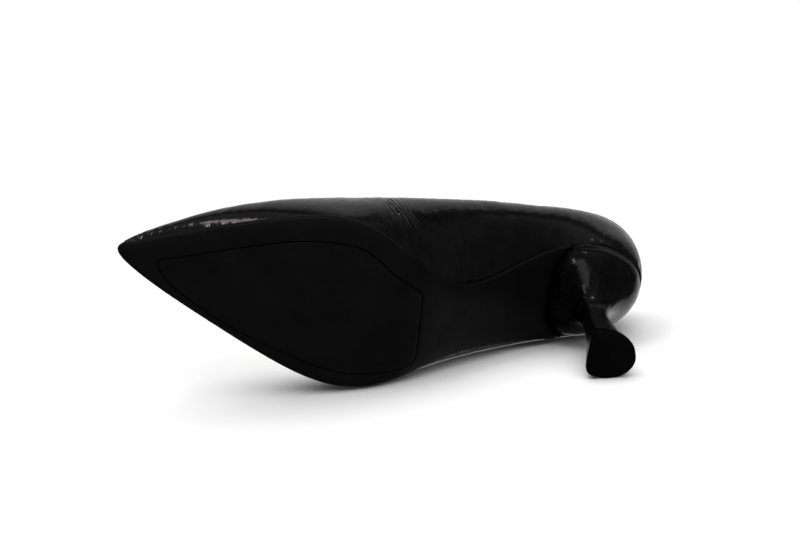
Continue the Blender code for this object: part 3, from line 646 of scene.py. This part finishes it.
def make_upper(finish):
    """The upper, from its margin tucked under the last to its folded topline. Returns the outer skin
    with its normals, row by row."""
    u = upper_columns()
    rows = np.concatenate([np.linspace(0, 0.25, 56), np.linspace(0.25, 0.985, 116)[1:]])
    skin = wall(u, rows)
    normal = wall_normal(u, rows)
    skin = skin + wall_relief(u, rows[:, None], skin)[..., None] * normal
    foot, radius = skin[0], UPPER_THICK / 2  # the fold is a half round
    under = []
    for inset, drop in ((3.5, 0.15), (1.4, 0.0), (0.45, -0.05)):
        line = outline_at(u, inset)
        under.append(np.column_stack([line, bottom_height(*line.T) - drop]))
    under[-1][:, 2] = (under[-1][:, 2] + foot[:, 2]) / 2
    edge, out = skin[-1], normal[-1]
    up = unit(skin[-1] - skin[-4])
    roll = []
    for angle in np.linspace(0, math.pi, 10)[1:]:
        roll.append(edge - radius * out + radius * (math.cos(angle) * out + math.sin(angle) * up))
    inner = [roll[-1] - depth * up for depth in (1.5, 4, 9)]
    places = np.concatenate([np.array(under), skin, np.array(roll), np.array(inner)])
    above = WALL_RISE + np.arange(1, len(places) - len(rows) - 2)
    height = np.concatenate([[-3, -1.5, -0.5], rows * WALL_RISE, above])
    made = sheet("upper_patent", places, True, finish, u * SHOE_ROUND, height[:, None])
    settle(made, ["upper"])
    return skin, normal


def stitch_row(name, line, out, finish, length=2.0, gap=0.75, radius=0.17, sink=0.08):
    """A row of stitches along a line of places (mm), half sunk in the surface whose normals are out."""
    step = np.linalg.norm(np.diff(line, axis=0), axis=1)
    run = np.concatenate([[0], np.cumsum(step)])
    count = int(run[-1] // (length + gap))
    middle = (np.arange(count) + 0.5) * run[-1] / count

    def found(values, where):
        return np.stack([np.interp(where, run, values[:, k]) for k in range(3)], axis=1)

    at = found(line, middle)
    along = unit(found(line, middle + 0.3) - found(line, middle - 0.3))
    normal = unit(found(out, middle))
    side = unit(np.cross(along, normal))
    # (share of the length, share of the radius) of a stitch's rings
    profile = ((-0.5, 0.35), (-0.42, 0.85), (-0.2, 1.0), (0.2, 1.0), (0.42, 0.85), (0.5, 0.35))
    sides = 8
    rings = []
    for share, fat in profile:
        dip = -radius * 1.1 * (2 * abs(share))**3
        centre = at + share * length * along + (dip - sink + radius * 0.5) * normal
        for angle in np.linspace(0, 2 * math.pi, sides, endpoint=False):
            rings.append(centre + fat * radius * (math.cos(angle) * side + math.sin(angle) * normal))
    verts = np.stack(rings, axis=1).reshape(-1, 3)
    faces = []
    for first in range(0, count * len(rings), len(rings)):
        faces += grid_faces(len(profile), sides, True, first)
        faces.append([first + k for k in range(sides)][::-1])
        faces.append([first + len(rings) - sides + k for k in range(sides)])
    made = piece(name, world(*verts.T), faces, finish)
    fix_normals(made)
    settle(made, [])


# -------- lining and sock
def sock_height(s, x):
    return stacked(s, x, SOCK_HIGH_FRONT + (SOCK_HIGH - SOCK_HIGH_FRONT) * (1 - ease(s, 122, 140)))


def wall_inside(u, t, depth):
    return wall(u, t) - depth * wall_normal(u, t)


def sock_line(u, depth, lift=0.0):
    """Where a layer at some depth meets the sock: t for each column."""
    t = np.linspace(0.02, 0.55, 90)
    inner = wall_inside(u, t, depth)
    s, x, z = np.moveaxis(inner, -1, 0)
    above = z - sock_height(s, x) - lift > 0
    return t[np.argmax(above, axis=0)]


# Name, CAD node and slot, from where to where round the shoe, columns, gap behind it, thickness, and
# the stitched edges as (place, name).
LININGS = (
    ("vamp_lining_kid", "vamp_lining", "lining_leather", -0.235, 0.235, 230, 0.0, LINING_THICK, ()),
    ("quarter_lining_kid_medial", "quarter_lining_medial", "lining_leather", 0.218, 0.462, 190, 0.45,
     LINING_THICK, ((0.223, "front"),)),
    ("quarter_lining_kid_lateral", "quarter_lining_lateral", "lining_leather", 0.538, 0.782, 190, 0.45,
     LINING_THICK, ((0.777, "front"),)),
    ("heel_grip_suede_strip", "heel_grip", "heel_grip_suede", 0.440, 0.560, 120, 0.95, 0.5,
     ((0.444, "front"), (0.556, "back"))),
)


def make_topline_stitches(skin, normal, outer_thread, inner_thread):
    """The seam along the topline, seen on the upper and on the lining."""
    closed = np.r_[np.arange(skin.shape[1]), 0]
    row = -7  # below the fold
    stitch_row("topline_stitches_outer", skin[row][closed], normal[row][closed], outer_thread)
    u = upper_columns()
    t = np.full((1, len(u)), 0.945)
    line = wall_inside(u, t, UPPER_THICK + LINING_THICK + 0.62)[0]
    out = -wall_normal(u, t)[0]
    stitch_row("topline_stitches_inner", line[closed], out[closed], inner_thread)


def make_linings(kid, suede, seam_thread):
    """The linings, from under the sock up to the topline's fold, each with its visible seams."""
    for name, node, slot_name, low, high, columns, rise, thickness, seams in LININGS:
        u = np.linspace(low, high, columns)
        start = sock_line(u, UPPER_THICK + rise, -2.2)
        top = 0.962 - 0.006 * rise
        share = np.linspace(0, 1, 70)[:, None]
        t = start + (top - start) * share
        depth = UPPER_THICK + 0.1 + rise
        inner = wall_inside(u, t, depth)
        girth = u * SHOE_ROUND
        soft = 0.05 * ripple(girth, inner[..., 2], 14, 18, 21) + 0.02 * ripple(girth, inner[..., 2], 4, 5, 22)
        inner = inner - soft[..., None] * wall_normal(u, t) * ease(share, 0, 0.1)[..., None]
        made = sheet(name, inner, False, suede if node == "heel_grip" else kid)
        thicken(made, thickness)
        soften(made)
        settle(made, [node])
        for place, which in seams:
            column = np.full(1, place)
            t = np.linspace(sock_line(column, 2.2)[0], 0.955, 60)
            line, out = wall_inside(column, t, depth + thickness)[:, 0], -wall_normal(column, t)[:, 0]
            stitch_row(name + "_stitches_" + which, line, out, seam_thread)


SOCK_FRONT = 231.0  # where the sock ends in the toe
SOCK_SPINE = (16, 214)  # ends of the line along its middle
SOCK_REACH = 16.0  # how far it may reach past the feather line, where the walls bulge
SOCK_THICK, SOCK_EDGE = 2.4, 0.9  # its thickness and the radius of its edge


def make_sock(finish):
    """The padded sock: it fills the floor of the shoe from wall to wall, with a shallow heel cup."""
    columns, rows = 420, 46
    u = around(columns)
    depth = UPPER_THICK + LINING_THICK + 0.75
    t = sock_line(u, depth)
    edge = wall_inside(u, t[None, :], depth)[0]
    s, x = np.minimum(edge[:, 0], SOCK_FRONT), edge[:, 1]
    lateral, medial = side_limits(s)
    x = np.clip(x, lateral - SOCK_REACH, medial + SOCK_REACH)
    # the rows run in from the edge to a line along the middle
    nearest = np.clip(s, *SOCK_SPINE)
    line = np.interp(nearest, s[:columns // 2][::-1], x[:columns // 2][::-1])
    line = (line + np.interp(nearest, s[columns // 2:], x[columns // 2:])) / 2
    share = (np.linspace(0, 1, rows)**0.8)[:, None]
    s_all = s * (1 - share) + nearest * share
    x_all = x * (1 - share) + line * share
    inset = np.hypot(s_all - s, x_all - x)
    z = sock_height(s_all, x_all) + 0.35 * ease(inset, 0, 5)
    z -= rounded(inset, SOCK_EDGE)
    z -= 1.0 * bump(s_all, 30, 20) * bump(x_all, 2, 14) + 0.5 * bump(s_all, 150, 22) * bump(x_all, 0, 22)
    z += 0.03 * ripple(s_all, x_all, 12, 12, 31)
    made = sheet("sock_padded", np.stack([s_all, x_all, z], axis=-1), True, finish)
    fix_normals(made, facing=1, merge=0.05)
    thicken(made, SOCK_THICK)
    settle(made, ["sock_liner", "sock_foam"])


# -------- the sole
SOLE_SPACING = 1.5  # of the mesh over the flat parts
TREAD_CORNER = 0.35  # radius of the tread panel's rim


def sole_outline():
    """The outsole's outline, ending at the front edge of the heel."""
    u = np.linspace(0.27, 0.73, 160)  # the heel's front half
    front = heel_at(u, 1.0)
    front_s, front_x = front[:, 0], front[:, 1]
    order = np.argsort(front_x)
    line = outline(-SOLE_LIP)
    limit = np.interp(line[:, 1], front_x[order], front_s[order] + JOINT)
    ahead = (line[:, 0] > limit + 0.3) & (line[:, 0] > 38)
    first = np.argmin(ahead)
    wall_part = np.roll(line, -first, axis=0)[np.roll(ahead, -first)]
    inside = (front_x > wall_part[:, 1].min()) & (front_x < wall_part[:, 1].max())
    inside &= (front_s > 34) & (np.abs(front_x - 1.0) < 23.2)
    back = np.stack([front_s[inside] + JOINT + 0.1, front_x[inside]], axis=1)
    return np.concatenate([wall_part, back[::-1]])


def tread_outline(grow=0.0):
    """The tread panel's outline: bulging sides, sharper corners at its back edge, grown by a margin."""
    knots = np.array(TREAD_OUTLINE, float)
    run = np.concatenate([[0], np.cumsum(np.linalg.norm(np.diff(knots, axis=0), axis=1))])
    last = run[-1] + np.linalg.norm(knots[-1] - knots[0])
    first_corner, second_corner = TREAD_CORNERS
    forward = spline(run[:first_corner + 1], knots[:first_corner + 1], np.linspace(0, run[first_corner], 190))
    rear = np.linspace(knots[first_corner], knots[second_corner], 44)[1:-1]
    closing = np.append(run[second_corner:], last)
    back = spline(closing, np.vstack([knots[second_corner:], knots[:1]]), np.linspace(closing[0], last, 200))
    line = np.vstack([forward, rear, back[:-1]])
    for _ in range(5):
        line = (np.roll(line, 1, axis=0) + 2 * line + np.roll(line, -1, axis=0)) / 4
    out = square_to(line)
    out *= np.sign(((line - (150.0, 0.0)) * out).sum(axis=1)).mean().round()
    return line + grow * out


def add_ring(verts, faces, loop, rows):
    """Continues a mesh from a loop of its vertices through further rows of places."""
    previous = np.asarray(loop)
    for row in rows:
        new = np.arange(len(row)) + len(verts)
        verts = np.vstack([verts, row])
        for i in range(len(new)):
            k = (i + 1) % len(new)
            faces.append([previous[i], previous[k], new[k], new[i]])
        previous = new
    return verts


def make_outsole(finish):
    """The outsole: its underside with the groove round the tread panel, its edge, and a turned-in rim."""
    edge_line = sole_outline()
    groove = tread_outline(PANEL_GAP)
    rings = []
    for inset in (0.12, 0.3, 0.55, 0.85, 1.25, 1.8, 2.6, 3.6, 4.8):
        ring = outline(inset - SOLE_LIP, 620)
        rings.append(ring[distance_to(edge_line, ring) > inset - 0.03])
    rings += [tread_outline(PANEL_GAP + grow) for grow in (0.2, 0.55)]
    flat, triangles, (outer, inner) = filled([edge_line, groove], rings, SOLE_SPACING)
    edge = distance_to(edge_line, flat)
    edge[outer] = 0
    z = sole_bottom(*flat.T, edge)
    lip = distance_to(groove, flat)
    z += 0.22 * np.clip(1 - lip / 0.45, 0, 1)**2
    z += 0.03 * ripple(*flat.T, 30, 24, 41) * ease(edge, 0, 6)
    verts = world(*flat.T, z)
    faces = triangles.tolist()
    s, x = edge_line.T
    top = bottom_height(s, x) - JOINT
    sides = [world(s, x, z[outer] * (1 - k) + (top - 0.3) * k) for k in (0.5, 1.0)]
    middle = np.array([s.mean(), 0.0])
    inward = square_to(edge_line)
    inward *= np.sign(((middle - edge_line) * inward).sum(axis=1)).mean().round()
    for inset, drop in ((0.08, 0.1), (0.3, 0.0), (2.2, 0.0)):
        moved = edge_line + inset * inward
        sides.append(world(*moved.T, bottom_height(*moved.T) - JOINT - drop))
    verts = add_ring(verts, faces, outer, sides)
    s, x = groove.T
    depth = [world(s, x, z[inner] + 0.25), world(s, x, z[inner] + GROOVE_DEPTH)]
    under = tread_outline(-0.8)
    depth.append(world(*under.T, z[inner] + GROOVE_DEPTH + 0.02))
    verts = add_ring(verts, faces, inner, depth)
    made = piece("outsole_moulded", verts, faces, finish)
    fix_normals(made, facing=-1)
    settle(made, ["outsole"])


def make_tread(finish):
    """The tread panel, standing in the outsole's opening with a small round at its rim."""
    line = tread_outline()
    rings = [tread_outline(-inset) for inset in (0.12, 0.3, 0.6, 1.0)]
    flat, triangles, (outer,) = filled([line], rings, SOLE_SPACING)
    edge = np.minimum(SOLE_EDGE_ROUND, distance_to(sole_outline(), flat))
    rim = distance_to(line, flat)
    rim[outer] = 0
    z = sole_bottom(*flat.T, edge) + 0.02
    z += rounded(rim, TREAD_CORNER)
    z += 0.03 * ripple(*flat.T, 26, 20, 43) * ease(rim, 0, 5)
    verts = world(*flat.T, z)
    faces = triangles.tolist()
    side = [world(*line.T, z[outer] + rise) for rise in (0.4, GROOVE_DEPTH)]
    verts = add_ring(verts, faces, outer, side)
    made = piece("tread_panel", verts, faces, finish)
    fix_normals(made, facing=-1)
    settle(made, ["tread_insert"])


# -------- the heel
def heel_relief(u, t, edge):
    """Swell of the heel's leather: a bead under the seat, and crinkles where it wraps the breast's edge."""
    out = 0.14 * bump(t, 0.982, 0.016) - 0.06 * bump(t, 0.945, 0.014) - 0.25 * ease(t, 0.994, 1.0)
    girth, rise = u * HEEL_ROUND, t * HEEL_RISE
    out = out + 0.030 * ripple(girth, rise, 7, 26, 51) + 0.02 * ripple(girth, rise, 2.5, 14, 52)
    near = bump(edge, 0, 0.03)
    return out + 0.07 * near * ripple(girth, rise, 9, 1.7, 53) * ease(t, 0.45, 0.7)


def make_heel(finish, breast_finish):
    """The heel's cover, folded in along the breast, and the flap on the breast, tucked under the sole."""
    u = np.concatenate([np.linspace(-BREAST_EDGE, -0.30, 40)[:-1], np.linspace(-0.30, 0.30, 150)[:-1],
                        np.linspace(0.30, BREAST_EDGE, 40)])
    t = np.concatenate([np.linspace(0, 0.93, 130)[:-1], np.linspace(0.93, 1.0, 36)])[:, None]
    normal = heel_normal(u, t)
    relief = heel_relief(u, t, np.abs(u) - BREAST_EDGE)
    skin = heel_at(u, t) + (relief + 0.25)[..., None] * normal
    near, far = (skin - drop * normal for drop in (0.25, 0.7))
    skin = np.concatenate([far[:, :1], near[:, :1], skin, near[:, -1:], far[:, -1:]], axis=1)
    along = 0.3 * np.arange(skin.shape[1])
    made = sheet("heel_cover_patent", skin, False, finish, along, t * HEEL_RISE)
    settle(made, ["heel_cover"])

    u = np.linspace(BREAST_EDGE - 0.01, 1.01 - BREAST_EDGE, 90)
    t = np.linspace(0, 1, 130)[:, None]
    grain = ripple(u * HEEL_ROUND, t * HEEL_RISE, 5, 9, 55)
    skin = heel_at(u, t) + (0.03 * grain - 0.15)[..., None] * heel_normal(u, t)
    tuck = []
    for forward, rise in ((0.35, 0.1), (0.9, 0.16), (3.0, 0.16)):
        s, x = skin[-1, :, 0] + forward, skin[-1, :, 1]
        tuck.append(np.stack([s, x, bottom_height(s, x) - JOINT + rise], axis=-1))
    skin = np.concatenate([skin, np.array(tuck)])
    t = np.append(t, (1.01, 1.02, 1.05))[:, None]
    made = sheet("breast_flap_patent", skin, False, breast_finish, u * HEEL_ROUND, t * HEEL_RISE)
    settle(made, ["breast_cover"])


# The top piece's profile from the middle of its foot up to its seat: (inset from the heel's foot, z).
TOP_PIECE_PROFILE = ((2.6, 0.0), (1.7, 0.02), (1.15, 0.12), (0.7, 0.34), (0.4, 0.62), (0.18, 1.0),
                     (0.05, 1.5), (0.0, 2.2), (-0.05, 3.6), (-0.05, 4.8), (0.02, 5.2), (0.2, 5.42),
                     (0.6, TOP_PIECE_HEIGHT), (3.0, TOP_PIECE_HEIGHT))
TOP_PIECE_MIDDLE = (20.8, -1.0, 0.0)


def make_top_piece(finish):
    count = 240
    u = np.arange(count) / count
    base = heel_at(u, 0.0)
    normal = heel_normal(u, np.full(count, 0.001))
    normal[:, 2] = 0
    normal = unit(normal)
    rows = []
    for inset, z in TOP_PIECE_PROFILE:
        ring = base - inset * normal
        ring[:, 2] = z
        rows.append(ring)
    middle = np.array(TOP_PIECE_MIDDLE)
    rows = [middle + share * (rows[0] - middle) for share in (0.01, 0.3, 0.6, 0.85)] + rows
    verts = world(*np.moveaxis(np.array(rows), -1, 0)).reshape(-1, 3)
    faces = grid_faces(len(rows), count, True)
    faces.append(list(range(count)))
    made = piece("top_piece_lift", verts, faces, finish, smooth=50)
    fix_normals(made, facing=-1)
    settle(made, ["top_piece"])


# -------- stage, light and camera
# The camera's axes in the part's frame, and its place in metres.
RIGHT = Vector((0.1639, 0.9857, 0.0386)).normalized()
AWAY = Vector((-0.3164, 0.0150, 0.9485)).normalized()
RIGHT = (RIGHT - AWAY * RIGHT.dot(AWAY)).normalized()
UP = RIGHT.cross(AWAY)
CAMERA_AT = Vector((0.2415, -0.0084, -0.6539))
# The shoe lies on its lateral side: this is the outward normal of the table under it.
TABLE_UP = Vector((0.961, -0.239, 0.141)).normalized()
TABLE_SIZE, FLOOR_SIZE = 1.75, 9.0


def towards(right, up, away):
    """The unit vector of a direction seen from the camera."""
    return (RIGHT * right + UP * up + AWAY * away).normalized()


def make_camera():
    data = bpy.data.cameras.new("camera")
    data.sensor_width, data.lens = 36.0, 70.0155
    data.clip_start, data.clip_end = 0.01, 50
    made = bpy.data.objects.new("camera", data)
    made.matrix_world = Matrix((RIGHT, UP, -AWAY)).transposed().to_4x4()
    made.location = CAMERA_AT
    scene.collection.objects.link(made)
    scene.camera = made


def one_sided(name, shade, roughness, glow=0.0):
    """Plain matt white that shows only its front: from behind it lets everything through."""
    p = Paint(name, (shade, shade, shade), roughness, Specular_IOR_Level=0.1, Emission_Strength=glow)
    p.shader.inputs["Emission Color"].default_value = (1, 1, 1, 1)
    p.relief(p.noise(9), 0.2)
    behind = p.add("NewGeometry").outputs["Backfacing"]
    clear = p.add("BsdfTransparent").outputs[0]
    mix = p.add("MixShader", [(behind, 0), (p.shader.outputs[0], 1), (clear, 2)])
    out = next(n for n in p.tree.nodes if n.type == "OUTPUT_MATERIAL")
    p.tree.links.new(mix.outputs[0], out.inputs["Surface"])
    return p.material


def plane(name, centre, normal, size, finish):
    bpy.ops.mesh.primitive_plane_add(size=size)
    made = bpy.context.object
    made.name = name
    made.rotation_mode = "QUATERNION"
    made.rotation_quaternion = normal.to_track_quat("Z", "Y")
    made.location = centre
    made.data.materials.append(finish)
    return made


def make_stage():
    """A pale table that touches the shoe's lateral side, and a floor seen only by the camera."""
    nearest = 1.0
    for shown in scene.objects:
        if shown.type == "MESH" and not shown.hide_render:
            flat = np.zeros(len(shown.data.vertices) * 3, np.float32)
            shown.data.vertices.foreach_get("co", flat)
            nearest = min(nearest, float((flat.reshape(-1, 3) @ np.array(TABLE_UP)).min()))
    table = plane("table", TABLE_UP * nearest, TABLE_UP, TABLE_SIZE, one_sided("table_white", 0.92, 0.6))
    table.visible_glossy = False
    floor = plane("floor", Vector((0, 0, -0.0002)), Vector((0, 0, 1)), FLOOR_SIZE,
                  one_sided("floor_white", 0.35, 0.6, 0.62))
    floor.visible_glossy = floor.visible_diffuse = floor.visible_shadow = False
    floor.visible_transmission = False


def area_light(name, direction, distance, size, power, glossy=True, colour=(1, 1, 1)):
    """A softbox in a direction given as right, up and away, aimed at the shoe's middle."""
    data = bpy.data.lights.new(name, "AREA")
    data.shape = "RECTANGLE"
    data.size, data.size_y = size
    data.energy = power
    data.color = colour
    made = bpy.data.objects.new(name, data)
    out = towards(*direction)
    made.location = out * distance + Vector((0, 0, 0.06))
    made.rotation_mode = "QUATERNION"
    made.rotation_quaternion = out.to_track_quat("Z", "Y")
    made.visible_glossy = glossy
    made.visible_camera = False
    scene.collection.objects.link(made)


# Pale panels: (direction as right, up and away; cosines where it starts and is full; radiance).
SIDE_PANELS = (((0.68, -0.28, 0.68), 0.87, 0.98, 0.85), ((0.06, 0.73, -0.68), 0.93, 0.98, 0.90))
# Brightness round the shoe by angle from the direction away from the camera: (degrees, radiance).
SURROUNDINGS = ((0, 0.55), (28, 0.34), (50, 0.26), (60, 0.17), (63, 0.03), (71, 0.03), (77, 0.17),
                (100, 0.12), (150, 0.08), (180, 0.07))
BACKDROP = 1.1  # radiance of what the camera sees behind it all


def make_world():
    """White for the camera, and for reflections a grey room with a dark band and pale panels."""
    made = bpy.data.worlds.new("studio")
    scene.world = made
    made.use_nodes = True
    tree = made.node_tree
    tree.nodes.clear()

    def add(kind, links=(), **values):
        return add_node(tree, kind, links, **values)

    direction = add("TexCoord").outputs["Generated"]

    def along(axis):
        dot = add("VectorMath", [(direction, 0)], operation="DOT_PRODUCT")
        dot.inputs[1].default_value = axis
        return dot.outputs["Value"]

    def step(axis, low, high, before, after):
        """A smooth change from one brightness to another along a direction."""
        return add("MapRange", [(along(axis), 0)], interpolation_type="SMOOTHSTEP", From_Min=low,
                   From_Max=high, To_Min=before, To_Max=after).outputs[0]

    def combine(operation, first, second):
        return add("Math", [(first, 0), (second, 1)], operation=operation).outputs[0]

    angle = add("Math", [(along(AWAY), 0)], operation="ARCCOSINE")
    share = add("Math", [(angle.outputs[0], 0)], operation="DIVIDE")
    share.inputs[1].default_value = math.pi
    ramp = add("ValToRGB", [(share.outputs[0], 0)])
    stops = ramp.color_ramp.elements
    for i, (degrees, value) in enumerate(SURROUNDINGS):
        stop = stops[i] if i < 2 else stops.new(degrees / 180)
        stop.position = degrees / 180
        stop.color = (value, value, value, 1)
    # darker low down behind the shoe, and on the right
    low = combine("MULTIPLY_ADD", step(UP, -0.45, -0.12, -0.88, 0.0), step(AWAY, 0.0, 0.25, 0.0, 1.0))
    low.node.inputs[2].default_value = 1.0
    glow = combine("MULTIPLY_ADD", step(RIGHT, 0.38, 0.75, 0.0, -0.62), ramp.outputs[0])
    tree.links.new(ramp.outputs[0], glow.node.inputs[2])
    glow = combine("MULTIPLY", glow, low)
    for axis, wide, narrow, value in SIDE_PANELS:
        glow = combine("ADD", glow, step(towards(*axis), wide, narrow, 0.0, value))
    seen = add("LightPath").outputs["Is Camera Ray"]
    around_it = add("Background", [(glow, "Color")])
    white = add("Background", Color=(1, 1, 1, 1), Strength=BACKDROP)
    mix = add("MixShader", [(seen, 0), (around_it.outputs[0], 1), (white.outputs[0], 2)])
    add("OutputWorld", [(mix.outputs[0], 0)])


def make_lights():
    area_light("toe_softbox", (-0.42, 0.89, -0.22), 1.3, (0.2, 0.2), 0.42, colour=(1, 0.88, 0.90))
    area_light("heel_softbox", (-0.36, 0.82, -0.44), 1.3, (0.14, 0.3), 1.2)
    area_light("heel_strip", (0.3, 0.93, 0.1), 1.3, (0.2, 0.08), 0.2)
    area_light("table_light", (-0.08, 0.95, 0.1), 1.6, (2.6, 2.6), 41, glossy=False)
    area_light("front_fill", (0.3, 0.45, -0.9), 1.6, (1.6, 1.0), 14.5, glossy=False)


def main():
    leather = patent("patent_leather_upper", 0.045, 1.0)
    heel_leather = patent("patent_leather_heel", 0.035, 0.5)
    breast_leather = patent("patent_leather_breast", 0.06, 0.1)
    kid = lining_leather("kid_lining", (0.60, 0.45, 0.33), 0)
    suede = lining_leather("suede_grip", (0.48, 0.35, 0.25), 1)
    sock = lining_leather("sock_kid", (0.63, 0.48, 0.36), 0)
    black_thread = thread("thread_black", (0.012, 0.012, 0.012))
    nude_thread = thread("thread_nude", (0.55, 0.42, 0.31))

    make_topline_stitches(*make_upper(leather), black_thread, nude_thread)
    make_linings(kid, suede, nude_thread)
    make_sock(sock)
    make_outsole(sole_rubber("sole_rubber_black", 0.0023, 0.03))
    make_tread(sole_rubber("tread_rubber_black", 0.0023, 0.05))
    make_heel(heel_leather, breast_leather)
    make_top_piece(sole_rubber("top_piece_rubber_black", 0.0016, 0.05, 0.0))
    dress_inner_nodes()
    make_stage()
    make_world()
    make_lights()
    make_camera()
    scene.view_settings.view_transform = "Standard"


main()
